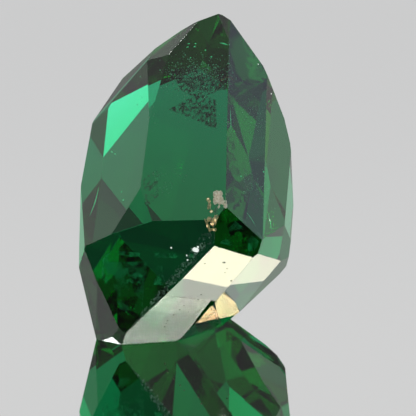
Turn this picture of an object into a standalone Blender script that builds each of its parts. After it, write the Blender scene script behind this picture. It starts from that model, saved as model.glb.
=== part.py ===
"""Tsavorite garnet: one loose faceted stone, 7.6 mm tall, standing on its lowest facet.

Metres, +Z up. The front of the stone faces -Y. The origin is the middle of its footprint, on the
plane that the stone rests on.

A stone is cut the way a cutter cuts it. A rough block is ground flat once for each facet, and every
facet is three values: the turn around the upright axis, the lean of the facet and its depth.
"""
import math

import bmesh
import bpy
from mathutils import Vector

MM = 0.001

# Driving dimensions
ROUGH_SIZE = 12.0 * MM
HEART_HEIGHT = 4.0 * MM
CORNER_MERGE = 0.0005 * MM

# Look of the stone
STONE_GREEN = (0.02, 0.33, 0.11, 1.0)
STONE_ROUGHNESS = 0.03
STONE_IOR = 1.74

# Every facet below is (turn, lean, depth)
# Turn in degrees: 0 faces the front, 90 the right side, 180 the back, -90 the left side
# Lean in degrees: 0 is upright, 90 faces straight up, -90 faces straight down
# Depth in millimetres: from the heart of the stone out to the facet

# Upper front: the broad main facet, its neighbours and the short ones around the tip
UPPER_FRONT = {
    "main": (-28.5, 36.0, 1.11),
    "narrow_triangle": (-38.5, 35.5, 1.205),
    "upper_left": (-41.5, 40.5, 1.445),
    "tip": (-9.5, 45.5, 1.79),
    "upper_right": (56.5, 25.0, 1.865),
}

# Left side: the long facet and the thin ones along the left outline
LEFT_SIDE = {
    "long_left": (-46.0, 32.0, 1.23),
    "left_shoulder": (-74.5, 39.5, 2.03),
    "left_edge": (-77.5, 7.5, 2.36),
    "left_wedge": (-37.5, 30.0, 1.25),
    "left_kite": (-25.5, -1.0, 1.995),
    "lower_left_edge": (-46.5, -9.5, 2.71),
    "lower_left": (-42.0, -10.5, 2.69),
}

# Right side: the long facets that step round to the right outline
RIGHT_SIDE = {
    "long_right": (55.0, 24.0, 1.80),
    "outer_right": (64.5, 18.0, 1.92),
    "lower_right": (65.5, -12.5, 2.61),
    "right_edge": (79.5, 4.0, 2.35),
    "lower_right_edge": (64.5, -39.5, 3.06),
}

# Lower front: the upright facets below the main one and the two rows of undercut ones below them
LOWER_FRONT = {
    "lower_main": (-23.0, -1.5, 1.96),
    "lower_small": (27.0, -3.0, 2.49),
    "undercut_left_high": (14.6, -30.1, 2.755),
    "undercut_right_high": (53.1, -39.1, 2.912),
    "undercut_left": (14.0, -31.5, 2.78),
    "undercut_right": (52.5, -41.0, 2.94),
    "heel": (52.0, -43.0, 3.015),
    "toe": (-33.5, -18.0, 3.01),
    "toe_tip": (-36.5, -21.5, 3.23),
}

# Back of the stone, clockwise from the tip as seen from the front
BACK_RIM = {
    "back_tip": (150.0, 38.0, 3.24),
    "back_upper_right": (132.0, 31.0, 2.98),
    "back_right_shoulder": (118.0, 19.0, 2.77),
    "back_right_high": (108.0, 9.0, 2.70),
    "back_right": (101.0, 1.0, 2.64),
    "side_right": (91.0, -6.0, 2.69),
    "under_right_high": (92.0, -35.0, 3.50),
    "under_right": (91.0, -50.0, 3.63),
    "under_left": (-104.0, -30.0, 3.70),
    "back_left_low": (-113.0, -12.0, 2.49),
    "back_left": (-114.0, -10.0, 2.42),
    "back_left_high": (-115.0, -6.0, 2.39),
    "back_left_shoulder": (-124.0, 20.0, 2.65),
    "back_upper_left": (-144.0, 41.0, 2.86),
    "back_top_left": (-151.0, 44.0, 2.99),
}

# The broad facets of the back, the two that undercut it, and the one that the stone rests on
BROAD_BACK = {
    "back_main": (165.0, 2.0, 3.40),
    "back_slope": (150.5, -7.0, 3.08),
    "back_upper": (-170.0, 40.0, 3.00),
    "back_lower_right": (150.0, -42.0, 4.10),
    "back_lower_left": (-170.0, -42.0, 4.10),
    "resting_facet": (0.0, -90.0, 4.00),
}

FACET_GROUPS = (UPPER_FRONT, LEFT_SIDE, RIGHT_SIDE, LOWER_FRONT, BACK_RIM, BROAD_BACK)


def clear_scene():
    for old in list(bpy.data.objects):
        bpy.data.objects.remove(old, do_unlink=True)


def outward_direction(turn, lean):
    turn = math.radians(turn)
    lean = math.radians(lean)
    return Vector((
        math.sin(turn) * math.cos(lean),
        -math.cos(turn) * math.cos(lean),
        math.sin(lean),
    ))


def grind_facet(mesh, heart, turn, lean, depth):
    """Cut away everything outside one flat facet and close the cut with a single face."""
    outward = outward_direction(turn, lean)
    everything = mesh.verts[:] + mesh.edges[:] + mesh.faces[:]
    cut = bmesh.ops.bisect_plane(
        mesh,
        geom=everything,
        dist=CORNER_MERGE,
        plane_co=heart + outward * depth * MM,
        plane_no=outward,
        clear_outer=True,
    )
    rim = [part for part in cut["geom_cut"] if isinstance(part, bmesh.types.BMEdge)]
    if len(rim) > 2:
        bmesh.ops.edgeloop_fill(mesh, edges=rim)


def stand_on_origin(mesh):
    """Move the stone so that its footprint is centred on the origin and it rests at zero height."""
    low = Vector([min(vert.co[axis] for vert in mesh.verts) for axis in range(3)])
    high = Vector([max(vert.co[axis] for vert in mesh.verts) for axis in range(3)])
    middle = (low + high) / 2
    bmesh.ops.translate(mesh, verts=mesh.verts[:], vec=(-middle.x, -middle.y, -low.z))


def cut_stone(name):
    mesh = bmesh.new()
    bmesh.ops.create_cube(mesh, size=ROUGH_SIZE)
    heart = Vector((0.0, 0.0, HEART_HEIGHT))
    bmesh.ops.translate(mesh, verts=mesh.verts[:], vec=heart)
    for group in FACET_GROUPS:
        for turn, lean, depth in group.values():
            grind_facet(mesh, heart, turn, lean, depth)
    bmesh.ops.remove_doubles(mesh, verts=mesh.verts[:], dist=CORNER_MERGE)
    bmesh.ops.recalc_face_normals(mesh, faces=mesh.faces[:])
    stand_on_origin(mesh)
    data = bpy.data.meshes.new(name)
    mesh.to_mesh(data)
    mesh.free()
    return bpy.data.objects.new(name, data)


def stone_material():
    material = bpy.data.materials.new("green_garnet")
    material.use_nodes = True
    shader = material.node_tree.nodes["Principled BSDF"]
    shader.inputs["Base Color"].default_value = STONE_GREEN
    shader.inputs["Roughness"].default_value = STONE_ROUGHNESS
    shader.inputs["Metallic"].default_value = 0.0
    shader.inputs["IOR"].default_value = STONE_IOR
    shader.inputs["Transmission Weight"].default_value = 1.0
    material.diffuse_color = STONE_GREEN
    return material


def main():
    clear_scene()
    collection = bpy.data.collections.new("tsavorite_garnet")
    bpy.context.scene.collection.children.link(collection)
    stone = cut_stone("stone")
    stone.data.materials.append(stone_material())
    collection.objects.link(stone)


main()
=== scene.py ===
import math
import random

import bmesh
import bpy
from mathutils import Matrix, Vector
from mathutils.bvhtree import BVHTree


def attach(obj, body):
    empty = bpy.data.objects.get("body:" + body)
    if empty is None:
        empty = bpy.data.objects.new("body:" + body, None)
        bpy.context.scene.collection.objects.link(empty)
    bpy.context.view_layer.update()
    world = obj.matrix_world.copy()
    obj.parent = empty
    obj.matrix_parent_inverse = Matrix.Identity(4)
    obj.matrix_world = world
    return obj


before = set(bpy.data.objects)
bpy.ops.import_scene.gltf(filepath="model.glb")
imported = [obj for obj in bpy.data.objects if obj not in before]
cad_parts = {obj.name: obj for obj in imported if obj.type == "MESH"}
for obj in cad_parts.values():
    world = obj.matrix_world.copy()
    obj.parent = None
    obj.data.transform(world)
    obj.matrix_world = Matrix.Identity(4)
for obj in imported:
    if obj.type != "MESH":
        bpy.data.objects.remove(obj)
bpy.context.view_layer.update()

MM = 0.001
SEED = 11

# Camera: a long macro lens, a little above the stone
CAMERA_RISE = 15.0
CAMERA_DISTANCE = 300 * MM
FRAME_WIDTH = 10.05 * MM
SENSOR_WIDTH = 36.0
AIM_RIGHT = 0.52 * MM
AIM_UP = 2.792 * MM

# Looking glass under the stone
MIRROR_REACH = 400 * MM
MIRROR_DEPTH = 0.002 * MM
MIRROR_NEAR = (0.95, 0.955, 0.955, 1.0)
MIRROR_FAR = (0.88, 0.885, 0.89, 1.0)

# Light tent: brightness of its walls, as the camera would record it
TENT_WALL = 0.66
TENT_BACK_ROOF = 0.27
TENT_BACK_GAP = 0.06
CAMERA_OPENING = 0.20

# Garnet
GARNET_IOR = 1.74
GARNET_TINT = (0.0, 0.87, 0.665, 1.0)
GARNET_DENSITY = 1100.0
EDGE_SOFTNESS = 0.012 * MM
POLISH_RELIEF = 0.0002 * MM

# What grew in the stone
GRAIN_RELIEF = 0.0005 * MM
FILM_THICKNESS = 0.004 * MM
PIT_SINK = 0.006 * MM
NEEDLE_RINGS = 7
QUARTER_TURNS = (0, 1.571, 3.142, 4.712)

# Where looks at the stone start from, and how bright one bent or mirrored ray may get
LOOK_FROM = 20 * MM
BRIGHTEST_RAY = 60.0

VIEW_RISE = math.radians(CAMERA_RISE)
VIEW_INWARD = Vector((0, math.cos(VIEW_RISE), -math.sin(VIEW_RISE)))
VIEW_UP = Vector((0, math.sin(VIEW_RISE), math.cos(VIEW_RISE)))

dice = random.Random(SEED)


# Node helpers

def new_material(name):
    material = bpy.data.materials.new(name)
    material.use_nodes = True
    tree = material.node_tree
    tree.nodes.clear()
    output = tree.nodes.new("ShaderNodeOutputMaterial")
    shader = tree.nodes.new("ShaderNodeBsdfPrincipled")
    tree.links.new(shader.outputs["BSDF"], output.inputs["Surface"])
    return material, tree, shader, output


def new_group(name, takes, gives):
    """A shader node group: takes and gives are lists of (name, socket kind, default)."""
    tree = bpy.data.node_groups.new(name, "ShaderNodeTree")
    for label, kind, default in takes:
        socket = tree.interface.new_socket(name=label, in_out="INPUT", socket_type=kind)
        socket.default_value = default
    for label, kind in gives:
        tree.interface.new_socket(name=label, in_out="OUTPUT", socket_type=kind)
    return tree, tree.nodes.new("NodeGroupInput"), tree.nodes.new("NodeGroupOutput")


def place_group(tree, group, **values):
    node = tree.nodes.new("ShaderNodeGroup")
    node.node_tree = group
    for label, value in values.items():
        node.inputs[label.replace("_", " ")].default_value = value
    return node


def noise(tree, where, scale, detail=2.0, roughness=0.5):
    node = tree.nodes.new("ShaderNodeTexNoise")
    node.inputs["Detail"].default_value = detail
    node.inputs["Roughness"].default_value = roughness
    tree.links.new(where, node.inputs["Vector"])
    if isinstance(scale, (int, float)):
        node.inputs["Scale"].default_value = scale
    else:
        tree.links.new(scale, node.inputs["Scale"])
    return node


def spread(tree, value, low, high, to_low=0.0, to_high=1.0, smooth=True):
    node = tree.nodes.new("ShaderNodeMapRange")
    node.interpolation_type = "SMOOTHSTEP" if smooth else "LINEAR"
    node.inputs["From Min"].default_value = low
    node.inputs["From Max"].default_value = high
    for label, limit in (("To Min", to_low), ("To Max", to_high)):
        if isinstance(limit, (int, float)):
            node.inputs[label].default_value = limit
        else:
            tree.links.new(limit, node.inputs[label])
    tree.links.new(value, node.inputs["Value"])
    return node.outputs["Result"]


def mixed(tree, factor, first, second):
    node = tree.nodes.new("ShaderNodeMix")
    node.data_type = "RGBA"
    tree.links.new(factor, node.inputs["Factor"])
    for socket, value in ((node.inputs["A"], first), (node.inputs["B"], second)):
        if isinstance(value, tuple):
            socket.default_value = value
        else:
            tree.links.new(value, socket)
    return node.outputs["Result"]


def arithmetic(tree, kind, first, second):
    node = tree.nodes.new("ShaderNodeMath")
    node.operation = kind
    for socket, value in zip(node.inputs, (first, second)):
        if isinstance(value, (int, float)):
            socket.default_value = value
        else:
            tree.links.new(value, socket)
    return node.outputs["Value"]


# Surface effects that more than one material shares

def polish_marks_group():
    """Faint lines left by polishing: a height for bump and the roughness they leave."""
    tree, taken, given = new_group(
        "polish_marks",
        [("Grain", "NodeSocketFloat", 9000.0), ("Stretch", "NodeSocketVector", (1.0, 1.0, 0.08)),
         ("Clear", "NodeSocketFloat", 0.0), ("Marked", "NodeSocketFloat", 0.03)],
        [("Height", "NodeSocketFloat"), ("Roughness", "NodeSocketFloat")])
    place = tree.nodes.new("ShaderNodeTexCoord")
    drawn = tree.nodes.new("ShaderNodeVectorMath")
    drawn.operation = "MULTIPLY"
    tree.links.new(place.outputs["Object"], drawn.inputs[0])
    tree.links.new(taken.outputs["Stretch"], drawn.inputs[1])
    lines = noise(tree, drawn.outputs["Vector"], taken.outputs["Grain"], 3.0, 0.6)
    tree.links.new(lines.outputs["Fac"], given.inputs["Height"])
    patches = noise(tree, place.outputs["Object"], 900.0, 2.0, 0.5)
    both = arithmetic(tree, "MULTIPLY", lines.outputs["Fac"], patches.outputs["Fac"])
    marked = spread(tree, both, 0.24, 0.42, taken.outputs["Clear"], taken.outputs["Marked"])
    tree.links.new(marked, given.inputs["Roughness"])
    return tree


def edge_wear_group():
    """Where facets meet: a normal turned softly over the edge, and a mask of the worn line."""
    tree, taken, given = new_group(
        "edge_wear",
        [("Width", "NodeSocketFloat", 0.00001)],
        [("Mask", "NodeSocketFloat"), ("Normal", "NodeSocketVector")])
    bevel = tree.nodes.new("ShaderNodeBevel")
    bevel.samples = 4
    tree.links.new(taken.outputs["Width"], bevel.inputs["Radius"])
    surface = tree.nodes.new("ShaderNodeNewGeometry")
    facing = tree.nodes.new("ShaderNodeVectorMath")
    facing.operation = "DOT_PRODUCT"
    tree.links.new(bevel.outputs["Normal"], facing.inputs[0])
    tree.links.new(surface.outputs["True Normal"], facing.inputs[1])
    worn = spread(tree, facing.outputs["Value"], 0.999, 0.95)
    tree.links.new(worn, given.inputs["Mask"])
    tree.links.new(bevel.outputs["Normal"], given.inputs["Normal"])
    return tree


def cloudy_colour_group():
    """Two colours that run into each other in patches and fine grains."""
    tree, taken, given = new_group(
        "cloudy_colour",
        [("Light", "NodeSocketColor", (1, 1, 1, 1)), ("Dark", "NodeSocketColor", (0, 0, 0, 1)),
         ("Patches", "NodeSocketFloat", 20000.0), ("Rough Low", "NodeSocketFloat", 0.3),
         ("Rough High", "NodeSocketFloat", 0.6)],
        [("Colour", "NodeSocketColor"), ("Roughness", "NodeSocketFloat"), ("Height", "NodeSocketFloat")])
    place = tree.nodes.new("ShaderNodeTexCoord")
    cloud = noise(tree, place.outputs["Object"], taken.outputs["Patches"], 4.0, 0.65)
    share = spread(tree, cloud.outputs["Fac"], 0.38, 0.62)
    mix = mixed(tree, share, taken.outputs["Dark"], taken.outputs["Light"])
    tree.links.new(mix, given.inputs["Colour"])
    rough = spread(
        tree, cloud.outputs["Fac"], 0.3, 0.7, taken.outputs["Rough Low"], taken.outputs["Rough High"])
    tree.links.new(rough, given.inputs["Roughness"])
    tree.links.new(cloud.outputs["Fac"], given.inputs["Height"])
    return tree


# Materials

def garnet_material(polish_marks, edge_wear):
    material, tree, shader, output = new_material("green_garnet")
    shader.inputs["Base Color"].default_value = (1.0, 1.0, 1.0, 1.0)
    shader.inputs["Metallic"].default_value = 0.0
    shader.inputs["IOR"].default_value = GARNET_IOR
    shader.inputs["Transmission Weight"].default_value = 1.0
    marks = place_group(
        tree, polish_marks, Grain=26000.0, Stretch=(1.0, 0.35, 0.12), Clear=0.0, Marked=0.022)
    wear = place_group(tree, edge_wear, Width=EDGE_SOFTNESS)
    worn = arithmetic(tree, "MULTIPLY", wear.outputs["Mask"], 0.12)
    rough = arithmetic(tree, "MAXIMUM", worn, marks.outputs["Roughness"])
    tree.links.new(rough, shader.inputs["Roughness"])
    bump = tree.nodes.new("ShaderNodeBump")
    bump.inputs["Strength"].default_value = 0.15
    bump.inputs["Distance"].default_value = POLISH_RELIEF
    tree.links.new(marks.outputs["Height"], bump.inputs["Height"])
    tree.links.new(wear.outputs["Normal"], bump.inputs["Normal"])
    tree.links.new(bump.outputs["Normal"], shader.inputs["Normal"])
    absorption = tree.nodes.new("ShaderNodeVolumeAbsorption")
    absorption.inputs["Color"].default_value = GARNET_TINT
    absorption.inputs["Density"].default_value = GARNET_DENSITY
    tree.links.new(absorption.outputs["Volume"], output.inputs["Volume"])
    return material


def mineral_material(name, cloudy_colour, light, dark, patches, rough, painted_glow=0.0, clear=0.0):
    """A small mineral: two cloudy colours, a painted glow that stands in for the light it catches, and thin
    places if it is a film.
    """
    material, tree, shader, output = new_material(name)
    cloud = place_group(
        tree, cloudy_colour, Light=light, Dark=dark, Patches=patches, Rough_Low=rough[0], Rough_High=rough[1])
    tree.links.new(cloud.outputs["Colour"], shader.inputs["Base Color"])
    tree.links.new(cloud.outputs["Roughness"], shader.inputs["Roughness"])
    # Painted light: the mineral's own colours glow to stand in for the light falling on it.
    if painted_glow:
        tree.links.new(cloud.outputs["Colour"], shader.inputs["Emission Color"])
        shader.inputs["Emission Strength"].default_value = painted_glow
    relief = tree.nodes.new("ShaderNodeBump")
    relief.inputs["Strength"].default_value = 0.6
    relief.inputs["Distance"].default_value = GRAIN_RELIEF
    tree.links.new(cloud.outputs["Height"], relief.inputs["Height"])
    tree.links.new(relief.outputs["Normal"], shader.inputs["Normal"])
    if clear:
        thin = spread(tree, cloud.outputs["Height"], 0.42, 0.66, 0.0, clear)
        tree.links.new(thin, shader.inputs["Alpha"])
    return material


def mirror_material(polish_marks):
    material, tree, shader, output = new_material("silvered_mirror")
    shader.inputs["Metallic"].default_value = 1.0
    place = tree.nodes.new("ShaderNodeTexCoord")
    split = tree.nodes.new("ShaderNodeSeparateXYZ")
    tree.links.new(place.outputs["Object"], split.inputs["Vector"])
    far = spread(tree, split.outputs["Y"], -6 * MM, 30 * MM)
    tree.links.new(mixed(tree, far, MIRROR_NEAR, MIRROR_FAR), shader.inputs["Base Color"])
    marks = place_group(tree, polish_marks, Grain=2500.0, Stretch=(1.0, 1.0, 1.0), Clear=0.03, Marked=0.05)
    tree.links.new(marks.outputs["Roughness"], shader.inputs["Roughness"])
    return material


# Places inside the stone

def stone_tree(stone):
    corners = [vert.co for vert in stone.data.vertices]
    return BVHTree.FromPolygons(corners, [face.vertices for face in stone.data.polygons])


def bent_inward(normal):
    """The way a look from the front goes on inside the stone, behind a facet."""
    along = -VIEW_INWARD.dot(normal)
    inside = math.sqrt(1 - (1 - along ** 2) / GARNET_IOR ** 2)
    return (VIEW_INWARD / GARNET_IOR + normal * (along / GARNET_IOR - inside)).normalized()


def place_in(right, up, depth):
    """A place behind the facet that the front view shows there: right and up in mm, depth in mm."""
    start = Vector((right * MM, 0, 0)) + VIEW_UP * up * MM - VIEW_INWARD * LOOK_FROM
    spot, normal = TREE.ray_cast(start, VIEW_INWARD)[:2]
    if spot is None:
        return None, None
    return spot + bent_inward(normal) * depth * MM, normal


# Small shapes

def add_grain(mesh, centre, size, lie=None, roundness=0.6, fineness=1):
    """One irregular grain: size is its width, height and depth in mm."""
    made = bmesh.ops.create_icosphere(mesh, subdivisions=fineness, radius=0.5)
    turn = lie or Matrix.Rotation(
        dice.uniform(0, 6.28), 4, Vector((dice.random(), dice.random(), 0.5)).normalized())
    for vert in made["verts"]:
        swell = roundness + (1 - roundness) * dice.random() * 1.6
        local = Vector((vert.co.x * size[0], vert.co.y * size[1], vert.co.z * size[2])) * MM * swell
        vert.co = centre + turn @ local


def facing(normal):
    return normal.to_track_quat("Z", "Y").to_matrix().to_4x4()


def add_sliver(mesh, start, end, width, bow=0.0):
    """A thin pointed needle between two places."""
    along = end - start
    side = along.cross(VIEW_INWARD).normalized()
    third = along.cross(side).normalized()
    previous = None
    for step in range(NEEDLE_RINGS):
        share = step / (NEEDLE_RINGS - 1)
        middle = start + along * share + side * bow * MM * math.sin(math.pi * share)
        half = width * MM * 0.5 * max(0.08, math.sin(math.pi * share))
        ring = [mesh.verts.new(middle + side * half * math.cos(a) + third * half * math.sin(a))
                for a in QUARTER_TURNS]
        if previous:
            for corner in range(4):
                mesh.faces.new((previous[corner], previous[corner - 1], ring[corner - 1], ring[corner]))
        previous = ring
        if step == 0:
            mesh.faces.new(ring)
    mesh.faces.new(reversed(previous))


def add_sheet(mesh, corners, rows, columns, ripple):
    """A thin rippled sheet between four places, thick enough to be a closed film."""
    grid = {}
    a, b, c, d = corners
    face = (b - a).cross(d - a).normalized()
    for side, lift in ((0, 0.0), (1, FILM_THICKNESS)):
        for i in range(rows + 1):
            for j in range(columns + 1):
                u, v = i / rows, j / columns
                flat = a.lerp(b, u).lerp(d.lerp(c, u), v)
                wave = math.sin(u * 9 + v * 5) + math.sin(u * 4 - v * 11)
                grid[side, i, j] = mesh.verts.new(flat + face * (wave * ripple * MM + lift))
    for i in range(rows):
        for j in range(columns):
            mesh.faces.new((grid[1, i, j], grid[1, i + 1, j], grid[1, i + 1, j + 1], grid[1, i, j + 1]))
            mesh.faces.new((grid[0, i, j + 1], grid[0, i + 1, j + 1], grid[0, i + 1, j], grid[0, i, j]))
    for i in range(rows):
        mesh.faces.new((grid[0, i, 0], grid[0, i + 1, 0], grid[1, i + 1, 0], grid[1, i, 0]))
        mesh.faces.new((
            grid[1, i, columns], grid[1, i + 1, columns], grid[0, i + 1, columns], grid[0, i, columns]))
    for j in range(columns):
        mesh.faces.new((grid[1, 0, j], grid[1, 0, j + 1], grid[0, 0, j + 1], grid[0, 0, j]))
        mesh.faces.new((grid[0, rows, j], grid[0, rows, j + 1], grid[1, rows, j + 1], grid[1, rows, j]))


def finish_piece(name, mesh, material, smooth=False):
    bmesh.ops.recalc_face_normals(mesh, faces=mesh.faces[:])
    for face in mesh.faces:
        face.smooth = smooth
    data = bpy.data.meshes.new(name)
    mesh.to_mesh(data)
    mesh.free()
    data.materials.append(material)
    piece = bpy.data.objects.new(name, data)
    bpy.context.scene.collection.objects.link(piece)
    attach(piece, "root")
    return piece


# What grew in the stone, with painted glints and painted reflections among it

def cream_crystals(material):
    """The pale cluster in the middle, where the main facet ends, and its tail to the right."""
    mesh = bmesh.new()
    for right, up, depth, size in (
            (0.71, 3.13, 0.08, (0.17, 0.19, 0.12)), (0.80, 3.12, 0.08, (0.18, 0.20, 0.12)),
            (0.71, 2.98, 0.08, (0.17, 0.22, 0.12)), (0.81, 2.97, 0.08, (0.17, 0.22, 0.12)),
            (0.76, 3.05, 0.06, (0.20, 0.28, 0.12)), (0.88, 2.92, 0.08, (0.09, 0.13, 0.08)),
            (0.92, 2.85, 0.08, (0.07, 0.11, 0.07)), (0.78, 2.82, 0.10, (0.06, 0.09, 0.05))):
        centre, normal = place_in(right, up, depth)
        add_grain(mesh, centre, size, facing(normal), 0.78, 2)
    return finish_piece("cream_crystals", mesh, material)


def honey_crystals(material):
    """The brown and glassy grains that trail down from the pale cluster and close in a ring."""
    mesh = bmesh.new()
    for right, up, width, height in (
            (0.52, 3.00, 0.10, 0.09), (0.56, 2.95, 0.07, 0.08), (0.55, 2.85, 0.10, 0.13),
            (0.60, 2.71, 0.09, 0.09),
            (0.53, 2.79, 0.07, 0.07), (0.55, 2.55, 0.11, 0.10), (0.60, 2.49, 0.09, 0.08),
            (0.66, 2.28, 0.08, 0.09),
            (0.50, 2.47, 0.08, 0.07), (0.58, 2.28, 0.09, 0.06), (0.70, 2.60, 0.07, 0.06)):
        centre, normal = place_in(right, up, 0.08 + dice.uniform(0, 0.04))
        add_grain(mesh, centre, (width, height, 0.08), facing(normal), 0.75, 2)
    for (x1, y1), (x2, y2), width, bow in (
            ((0.44, 2.54), (0.56, 2.22), 0.075, 0.02), ((0.74, 2.64), (0.64, 2.33), 0.085, -0.03),
            ((0.54, 2.22), (0.70, 2.30), 0.06, 0.02), ((0.50, 2.98), (0.58, 2.76), 0.05, 0.02)):
        start = place_in(x1, y1, 0.07)[0]
        end = place_in(x2, y2, 0.07)[0]
        add_sliver(mesh, start, end, width, bow)
    return finish_piece("honey_crystals", mesh, material)


def painted_honey_glints(material):
    """Painted highlights: small glowing grains that stand in for the bright faces of the honey grains."""
    mesh = bmesh.new()
    for right, up, width, height in (
            (0.615, 2.41, 0.10, 0.07), (0.60, 2.71, 0.06, 0.05), (0.52, 3.01, 0.05, 0.04),
            (0.50, 2.36, 0.04, 0.07),
            (0.70, 2.50, 0.04, 0.07), (0.655, 2.27, 0.05, 0.04)):
        centre, normal = place_in(right, up, 0.03)
        add_grain(mesh, centre, (width, height, 0.03), facing(normal), 0.8, 2)
    return finish_piece("painted_honey_glints", mesh, material)


def painted_bright_flecks(material):
    """Small white and pale flecks with a strong painted glow in place of the light they catch; the fleck at
    2.00 mm right, 2.50 mm up is a painted glint.
    """
    mesh = bmesh.new()
    for right, up, width, height in (
            (0.215, 1.80, 0.20, 0.13), (0.25, 1.79, 0.12, 0.12), (0.28, 1.86, 0.06, 0.05),
            (-0.36, 1.84, 0.05, 0.05), (0.01, 1.66, 0.04, 0.05), (0.03, 1.55, 0.05, 0.05),
            (2.00, 2.50, 0.05, 0.06), (1.73, 6.25, 0.03, 0.04), (1.97, 6.00, 0.03, 0.04),
            (2.04, 5.54, 0.04, 0.04)):
        centre, normal = place_in(right, up, 0.05)
        if centre is not None:
            add_grain(mesh, centre, (width, height, 0.04), facing(normal), 0.75, 1)
    return finish_piece("painted_bright_flecks", mesh, material)


def painted_green_glints(material):
    """Painted green glints: small glowing grains that stand in for clean faces deep in the stone flashing
    green.
    """
    mesh = bmesh.new()
    for right, up, width, height, turn in (
            (-1.79, 4.14, 0.10, 0.035, -0.6), (-1.71, 4.09, 0.07, 0.03, -0.6),
            (-1.556, 3.18, 0.04, 0.04, 0.0),
            (-1.508, 2.985, 0.05, 0.04, 0.2), (1.85, 3.66, 0.045, 0.045, 0.0), (0.06, 6.74, 0.07, 0.03, 0.1),
            (0.22, 6.74, 0.06, 0.03, -0.1), (0.03, 6.66, 0.07, 0.03, 0.2), (0.20, 6.67, 0.08, 0.03, 0.3),
            (0.46, 6.58, 0.05, 0.04, 0.0), (0.10, 6.40, 0.05, 0.04, 0.3), (0.60, 6.42, 0.06, 0.04, 0.0),
            (1.31, 3.55, 0.05, 0.05, 0.0)):
        centre, normal = place_in(right, up, 0.06)
        if centre is not None:
            lie = facing(-VIEW_INWARD) @ Matrix.Rotation(turn, 4, "Z")
            add_grain(mesh, centre, (width, height, 0.03), lie, 0.8, 1)
    return finish_piece("painted_green_glints", mesh, material)


def needles(material):
    """Thin crystals that run under the facets, given a painted green glow."""
    mesh = bmesh.new()
    for (x1, y1), (x2, y2), width, bow in (
            ((1.965, 2.66), (2.04, 2.26), 0.035, 0.02), ((0.80, 6.755), (1.0, 6.70), 0.035, 0.01),
            ((1.05, 5.20), (1.07, 4.60), 0.02, 0.01), ((1.43, 2.70), (1.66, 2.36), 0.012, 0.02),
            ((-2.10, 3.30), (-2.32, 2.60), 0.03, 0.03)):
        start = place_in(x1, y1, 0.08)[0]
        end = place_in(x2, y2, 0.08)[0]
        if start is not None and end is not None:
            add_sliver(mesh, start, end, width, bow)
    return finish_piece("needles", mesh, material, smooth=True)


def dust_cloud(name, material, fields):
    """Fine grains strewn through parts of the stone, thickest in the middle of each part."""
    mesh = bmesh.new()
    for right, up, reach_right, reach_up, tilt, count, least, most, deep in fields:
        for grain in range(count):
            x = dice.gauss(0, 0.45) * reach_right
            y = dice.gauss(0, 0.45) * reach_up
            across = right + x * math.cos(tilt) - y * math.sin(tilt)
            above = up + x * math.sin(tilt) + y * math.cos(tilt)
            centre, normal = place_in(across, above, dice.uniform(0.04, deep))
            if centre is not None and normal.z > -0.3:
                size = least + (most - least) * dice.random() ** 3
                add_grain(mesh, centre, (size, size * dice.uniform(0.7, 1.3), size), None, 0.8, 1)
    return finish_piece(name, mesh, material)


def dark_flake(material):
    """The curled dark flake near the upper end of the main facet's right side."""
    mesh = bmesh.new()
    for (x1, y1), (x2, y2), width, bow in (
            ((0.80, 5.80), (1.10, 5.90), 0.035, 0.05), ((0.98, 5.97), (1.14, 5.80), 0.05, 0.03),
            ((0.78, 5.78), (0.86, 5.66), 0.03, -0.02)):
        start = place_in(x1, y1, 0.08)[0]
        end = place_in(x2, y2, 0.08)[0]
        add_sliver(mesh, start, end, width, bow)
    return finish_piece("dark_flake", mesh, material, smooth=True)


def pale_film(name, material, outlines, ripple=0.012):
    """Thin rippled films under the facets: healed cracks, and glowing green films that are painted
    reflections and painted green light inside the stone.
    """
    mesh = bmesh.new()
    for depth, *places in outlines:
        corners = [place_in(x, y, depth)[0] for x, y in places]
        add_sheet(mesh, corners, 14, 10, ripple)
    return finish_piece(name, mesh, material, smooth=True)


def surface_pits(material):
    """Tiny pits and chips on the undercut facets, drawn as sunken grains whose dark colour is painted shade.
    """
    mesh = bmesh.new()
    for right, up, size in (
            (0.449, 1.463, 0.08), (0.884, 1.487, 0.09), (0.93, 1.50, 0.06), (0.98, 1.343, 0.06),
            (0.93, 1.25, 0.05),
            (1.077, 1.053, 0.08), (-0.155, 0.352, 0.05), (-0.30, 0.231, 0.05), (-0.445, 0.086, 0.06),
            (-0.517, -0.058, 0.07), (-0.48, 0.02, 0.05), (0.98, 0.763, 0.07), (1.03, 0.75, 0.05),
            (0.29, 0.60, 0.05), (0.36, 0.72, 0.06), (-0.05, 0.45, 0.045), (0.05, 0.30, 0.045)):
        centre, normal = place_in(right, up, 0.0)
        if centre is not None:
            add_grain(mesh, centre - normal * PIT_SINK, (size, size * 0.7, 0.03), facing(normal), 0.7, 1)
    return finish_piece("surface_pits", mesh, material)


# Floor, light and camera

def looking_glass(material):
    bpy.ops.mesh.primitive_plane_add(size=MIRROR_REACH, location=(0, 0, -MIRROR_DEPTH))
    mirror = bpy.context.object
    mirror.name = "floor_mirror"
    mirror.data.materials.append(material)


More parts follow.
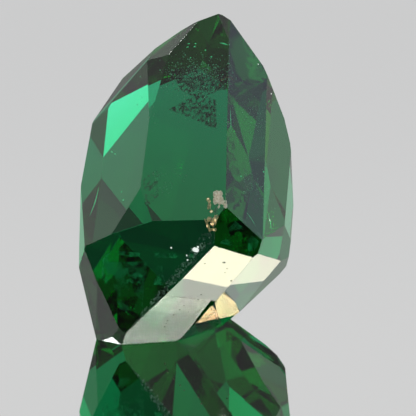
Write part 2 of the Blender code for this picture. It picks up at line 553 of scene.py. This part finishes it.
def light_window_group():
    """One round window of light in the tent, seen towards a direction."""
    tree, taken, given = new_group(
        "light_window",
        [("Look", "NodeSocketVector", (0, 0, 1)), ("Tent", "NodeSocketColor", (0, 0, 0, 1)),
         ("Towards", "NodeSocketVector", (0, 0, 1)), ("Rim", "NodeSocketFloat", 0.9),
         ("Core", "NodeSocketFloat", 1.0), ("Light", "NodeSocketColor", (1, 1, 1, 1))],
        [("Tent", "NodeSocketColor")])
    near = tree.nodes.new("ShaderNodeVectorMath")
    near.operation = "DOT_PRODUCT"
    tree.links.new(taken.outputs["Look"], near.inputs[0])
    tree.links.new(taken.outputs["Towards"], near.inputs[1])
    edge = tree.nodes.new("ShaderNodeMapRange")
    edge.interpolation_type = "SMOOTHSTEP"
    tree.links.new(near.outputs["Value"], edge.inputs["Value"])
    tree.links.new(taken.outputs["Rim"], edge.inputs["From Min"])
    tree.links.new(taken.outputs["Core"], edge.inputs["From Max"])
    lit = mixed(tree, edge.outputs["Result"], taken.outputs["Tent"], taken.outputs["Light"])
    tree.links.new(lit, given.inputs["Tent"])
    return tree


def towards(turn, rise):
    turn, rise = math.radians(turn), math.radians(rise)
    return Vector((math.sin(turn) * math.cos(rise), -math.cos(turn) * math.cos(rise), math.sin(rise)))


# Windows and flags in the tent: turn (0 is the camera's side, 90 the right), rise, size of the core
# and of the rim in degrees, brightness and colour
TENT_WINDOWS = (
    ("camera_side_fill", 14, 14, 17, 28, 0.70, (1, 1, 1)),
    ("right_flag", 53, 21, 12, 15, 0.02, (1, 1, 1)),
    ("left_flag", -46, 18, 5, 12, 0.04, (1, 1, 1)),
    ("upper_left_flag", -56, 46.5, 3.5, 6, 0.12, (1, 1, 1)),
    ("rear_flag", -172, 23, 4, 7, 0.08, (1, 1, 1)),
    ("upper_right_flag", 107.7, 42, 5, 8, 0.04, (1, 1, 1)),
    ("left_wall", -100, 30, 6, 10, 0.85, (1, 1, 1)),
    ("left_roof", -101, 43, 5, 8, 1.25, (1, 1, 1)),
    ("right_wall", 112, 12, 8, 14, 0.56, (0.95, 1.08, 1.28)),
    ("small_lamp", -92, 46, 3.0, 4.0, 14, (1, 1, 1)),
    ("rear_edge", 155.5, 38.2, 1.9, 2.5, 1.0, (0.92, 1, 0.97)),
    ("rear_softbox", 152.6, 37.2, 1.7, 2.2, 3.4, (1, 0.95, 0.8)),
    ("rear_top", 153, 51, 5.4, 6.6, 1.5, (1, 1, 1)),
    ("overhead_edge", 64, 72, 1.3, 1.9, 5.2, (0.98, 1, 0.88)),
    ("overhead_softbox", 56.5, 69.5, 2.6, 3.1, 12.5, (1, 0.95, 0.72)),
    ("front_edge", 31.1, 36.8, 1.4, 2.0, 17, (1, 1, 0.92)),
    ("front_softbox", 31.9, 40.4, 1.4, 1.9, 25, (1, 1, 0.88)),
    ("heel_flag", 140, 10, 2.5, 3.5, 0.04, (1, 1, 1)),
    ("warm_lamp", 102.8, 5.4, 2.7, 3.6, 38, (1, 0.64, 0.36)),
    ("low_rear_lamp", 136.9, 14.2, 1.5, 2.2, 15.5, (1, 0.82, 0.46)),
)


def studio_light():
    world = bpy.data.worlds.new("light_tent")
    bpy.context.scene.world = world
    world.use_nodes = True
    tree = world.node_tree
    tree.nodes.clear()
    output = tree.nodes.new("ShaderNodeOutputWorld")
    background = tree.nodes.new("ShaderNodeBackground")
    tree.links.new(background.outputs["Background"], output.inputs["Surface"])
    look = tree.nodes.new("ShaderNodeTexCoord").outputs["Generated"]
    split = tree.nodes.new("ShaderNodeSeparateXYZ")
    tree.links.new(look, split.inputs["Vector"])
    y, z = split.outputs["Y"], split.outputs["Z"]

    def grey(level):
        return (level, level, level, 1.0)

    opening = arithmetic(tree, "MULTIPLY", spread(tree, y, 0.14, -0.12), spread(tree, z, 0.95, 0.6))
    tent = mixed(tree, opening, grey(TENT_WALL), grey(CAMERA_OPENING))
    roof = arithmetic(tree, "MULTIPLY", spread(tree, y, 0.0, 0.25), spread(tree, z, 0.40, 0.50))
    roof = arithmetic(tree, "MULTIPLY", roof, spread(tree, z, 0.97, 0.85))
    tent = mixed(tree, roof, tent, grey(TENT_BACK_ROOF))
    gap = arithmetic(tree, "MULTIPLY", spread(tree, y, 0.60, 0.68), spread(tree, z, 0.175, 0.155))
    tent = mixed(tree, gap, tent, grey(TENT_BACK_GAP))
    window = light_window_group()
    for name, turn, rise, core, rim, level, colour in TENT_WINDOWS:
        node = place_group(tree, window)
        node.name = name
        node.inputs["Towards"].default_value = towards(turn, rise)
        node.inputs["Core"].default_value = math.cos(math.radians(core))
        node.inputs["Rim"].default_value = math.cos(math.radians(rim))
        node.inputs["Light"].default_value = tuple(level * part for part in colour) + (1.0,)
        tree.links.new(look, node.inputs["Look"])
        tree.links.new(tent, node.inputs["Tent"])
        tent = node.outputs["Tent"]
    tree.links.new(tent, background.inputs["Color"])


def camera():
    data = bpy.data.cameras.new("camera")
    data.sensor_width = SENSOR_WIDTH
    data.lens = SENSOR_WIDTH * CAMERA_DISTANCE / FRAME_WIDTH
    data.clip_start = 10 * MM
    data.clip_end = 2.0
    eye = bpy.data.objects.new("camera", data)
    bpy.context.scene.collection.objects.link(eye)
    aim = Vector((AIM_RIGHT, 0, 0)) + VIEW_UP * AIM_UP
    eye.location = aim - VIEW_INWARD * CAMERA_DISTANCE
    eye.rotation_euler = (-VIEW_INWARD).to_track_quat("Z", "Y").to_euler()
    bpy.context.scene.camera = eye


def render_feel():
    scene = bpy.context.scene
    scene.view_settings.view_transform = "Standard"
    scene.cycles.max_bounces = 32
    scene.cycles.transmission_bounces = 32
    scene.cycles.glossy_bounces = 16
    scene.cycles.transparent_max_bounces = 16
    scene.cycles.sample_clamp_indirect = BRIGHTEST_RAY
    scene.cycles.caustics_reflective = True
    scene.cycles.caustics_refractive = True


# The whole picture

marks = polish_marks_group()
wear = edge_wear_group()
cloud = cloudy_colour_group()

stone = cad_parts["stone"]
stone.data.materials.clear()
stone.data.materials.append(garnet_material(marks, wear))
TREE = stone_tree(stone)

# Cream crystals: their own cream colours, with a painted glow for the light they catch.
cream = mineral_material(
    "cream_mineral", cloud, (0.92, 0.86, 0.74, 1), (0.62, 0.52, 0.38, 1),
    16000.0, (0.35, 0.6), painted_glow=0.22)
# Honey crystals: their own brown colours, with a painted glow for the light they catch.
honey = mineral_material(
    "honey_mineral", cloud, (0.80, 0.62, 0.34, 1), (0.22, 0.20, 0.10, 1),
    20000.0, (0.1, 0.3), painted_glow=0.14)
# Painted highlight: a strongly glowing cream-orange that stands in for glints on the honey grains.
glint = mineral_material(
    "honey_glint", cloud, (1.0, 0.86, 0.58, 1), (1.0, 0.62, 0.30, 1),
    16000.0, (0.1, 0.3), painted_glow=0.8)
# Painted light: white flecks glowing strongly to stand in for light caught on them.
white = mineral_material(
    "white_mineral_painted_glow", cloud, (1.0, 1.0, 0.97, 1), (0.75, 0.78, 0.75, 1),
    40000.0, (0.2, 0.4), painted_glow=0.9)
# Painted light: a glowing green that stands in for flashes of light deep in the stone; the needles share it.
flash = mineral_material(
    "painted_green_glow", cloud, (0.10, 0.90, 0.40, 1), (0.04, 0.55, 0.22, 1),
    40000.0, (0.1, 0.3), painted_glow=0.35)
# Fine dust: its own pale green, with a painted glow for the light it catches.
dust = mineral_material(
    "pale_dust", cloud, (0.20, 0.62, 0.38, 1), (0.04, 0.22, 0.12, 1),
    25000.0, (0.4, 0.7), painted_glow=0.13)
# Grey dust: its own grey green, with a faint painted glow for the light it catches.
grey = mineral_material(
    "grey_dust", cloud, (0.50, 0.62, 0.56, 1), (0.16, 0.28, 0.22, 1),
    25000.0, (0.4, 0.7), painted_glow=0.06)
dark = mineral_material(
    "dark_mineral", cloud, (0.30, 0.16, 0.05, 1), (0.02, 0.02, 0.01, 1),
    30000.0, (0.2, 0.4))
# Painted shade: the dark pit colours stand in for shade inside the pits.
pit = mineral_material(
    "pit_shadow", cloud, (0.20, 0.18, 0.12, 1), (0.03, 0.035, 0.03, 1),
    40000.0, (0.5, 0.8))
film = mineral_material(
    "healed_crack", cloud, (0.30, 0.46, 0.40, 1), (0.10, 0.22, 0.17, 1),
    9000.0, (0.4, 0.6), clear=0.32)
smoke = mineral_material(
    "smoky_film", cloud, (0.010, 0.045, 0.022, 1), (0.002, 0.012, 0.006, 1),
    12000.0, (0.5, 0.7), clear=0.92)
haze = mineral_material(
    "grey_haze", cloud, (0.10, 0.20, 0.14, 1), (0.03, 0.08, 0.05, 1),
    8000.0, (0.5, 0.7), clear=0.5)
# Painted reflections: glowing green films that stand in for streaks of light reflected inside the stone.
painted_streak_film = mineral_material(
    "painted_reflection_film", cloud, (0.01, 0.55, 0.20, 1), (0.0, 0.25, 0.09, 1),
    6000.0, (0.3, 0.5), painted_glow=0.10, clear=0.5)
# Painted light: large glowing green films that add green light inside the stone.
deep = mineral_material(
    "painted_green_light_film", cloud, (0.0, 0.34, 0.115, 1), (0.0, 0.16, 0.055, 1),
    1600.0, (0.4, 0.6), painted_glow=0.13, clear=0.6)

cream_crystals(cream)
honey_crystals(honey)
painted_honey_glints(glint)
painted_bright_flecks(white)
painted_green_glints(flash)
needles(flash)
dark_flake(dark)
surface_pits(pit)
dust_cloud("fine_dust", dust, (
    (0.25, 6.00, 0.95, 0.50, 0.0, 640, 0.016, 0.046, 0.3),
    (0.20, 5.60, 0.45, 0.30, 0.0, 130, 0.016, 0.040, 0.3),
    (0.10, 5.15, 0.45, 0.30, 0.3, 90, 0.014, 0.035, 0.3),
    (0.60, 4.85, 0.30, 0.30, 0.0, 50, 0.014, 0.035, 0.3),
    (0.95, 4.95, 0.40, 0.50, 0.0, 40, 0.014, 0.03, 0.3), (1.60, 5.00, 0.30, 0.55, 0.3, 90, 0.014, 0.032, 0.2),
    (1.55, 3.40, 0.30, 0.55, 0.3, 90, 0.014, 0.032, 0.2),
    (1.90, 3.00, 0.30, 0.60, 0.0, 50, 0.014, 0.032, 0.2),
    (-0.55, 3.45, 0.60, 0.45, 0.0, 60, 0.015, 0.035, 0.3), (-1.0, 5.0, 0.5, 0.6, 0.0, 20, 0.015, 0.035, 0.3)))
dust_cloud("veil_bubbles", grey, (
    (-0.30, 1.10, 0.85, 0.10, 0.83, 120, 0.022, 0.055, 0.10),
    (-0.90, 0.40, 0.50, 0.12, 0.83, 60, 0.020, 0.05, 0.10),
    (0.30, 1.82, 0.30, 0.12, 0.83, 45, 0.022, 0.055, 0.10)))
pale_film("healed_veil", film, (
    (0.06, (0.28, 1.98), (0.56, 1.86), (-0.07, 1.12), (-0.50, 1.02)),
    (0.06, (-0.50, 1.02), (-0.07, 1.12), (-1.36, -0.12), (-1.15, 0.15)),
    (0.08, (0.36, 2.18), (0.62, 2.22), (0.60, 1.90), (0.24, 1.98))))
pale_film("smoky_veil", smoke, (
    (0.34, (-0.50, 6.10), (0.40, 6.25), (0.26, 5.42), (-0.10, 5.60)),
    (0.34, (0.40, 6.25), (1.00, 6.05), (0.96, 5.66), (0.26, 5.42)),
    (0.34, (-0.42, 5.16), (0.30, 5.56), (0.74, 5.36), (0.72, 4.70)),
    (0.40, (-0.45, 6.05), (1.00, 6.15), (0.98, 5.62), (0.02, 5.62))), 0.006)
pale_film("grey_haze_film", haze, (
    (0.36, (0.24, 5.08), (0.70, 5.12), (0.72, 4.66), (0.36, 4.82)),
    (0.30, (-1.05, 3.50), (-0.70, 3.72), (-0.66, 3.05), (-0.98, 2.80)),
    (0.12, (0.70, 2.90), (0.90, 2.82), (0.86, 2.62), (0.66, 2.66)),
    (0.20, (1.36, 3.90), (1.76, 3.40), (1.72, 2.55), (1.40, 2.95))), 0.006)
# Painted reflections: streaks of light reflected inside the stone, drawn as glowing green films.
pale_film("painted_reflection_streaks", painted_streak_film, (
    (0.35, (-0.75, 1.72), (0.20, 1.68), (0.18, 1.58), (-0.78, 1.60)),
    (0.35, (-1.70, 1.76), (-1.10, 1.72), (-1.12, 1.62), (-1.70, 1.66)),
    (0.30, (-2.02, 1.65), (-1.80, 1.72), (-1.88, 0.95), (-2.02, 1.05)),
    (0.35, (-0.72, 1.40), (-0.58, 1.40), (-0.50, 0.95), (-0.78, 0.95)),
    (0.35, (-1.62, 1.36), (-0.95, 1.30), (-0.98, 1.00), (-1.58, 0.95)),
    (0.30, (1.47, 1.95), (1.56, 1.95), (1.54, 1.60), (1.45, 1.60))), 0.02)
# Painted light: glowing green films for the green light inside the stone.
pale_film("painted_green_light_veil", deep, (
    (0.45, (-2.00, 1.50), (-0.95, 1.50), (-1.05, 0.35), (-1.50, 0.12)),
    (0.45, (1.25, 2.62), (1.82, 2.12), (1.64, 1.75), (0.80, 1.95))), 0.02)

looking_glass(mirror_material(marks))
studio_light()
camera()
render_feel()
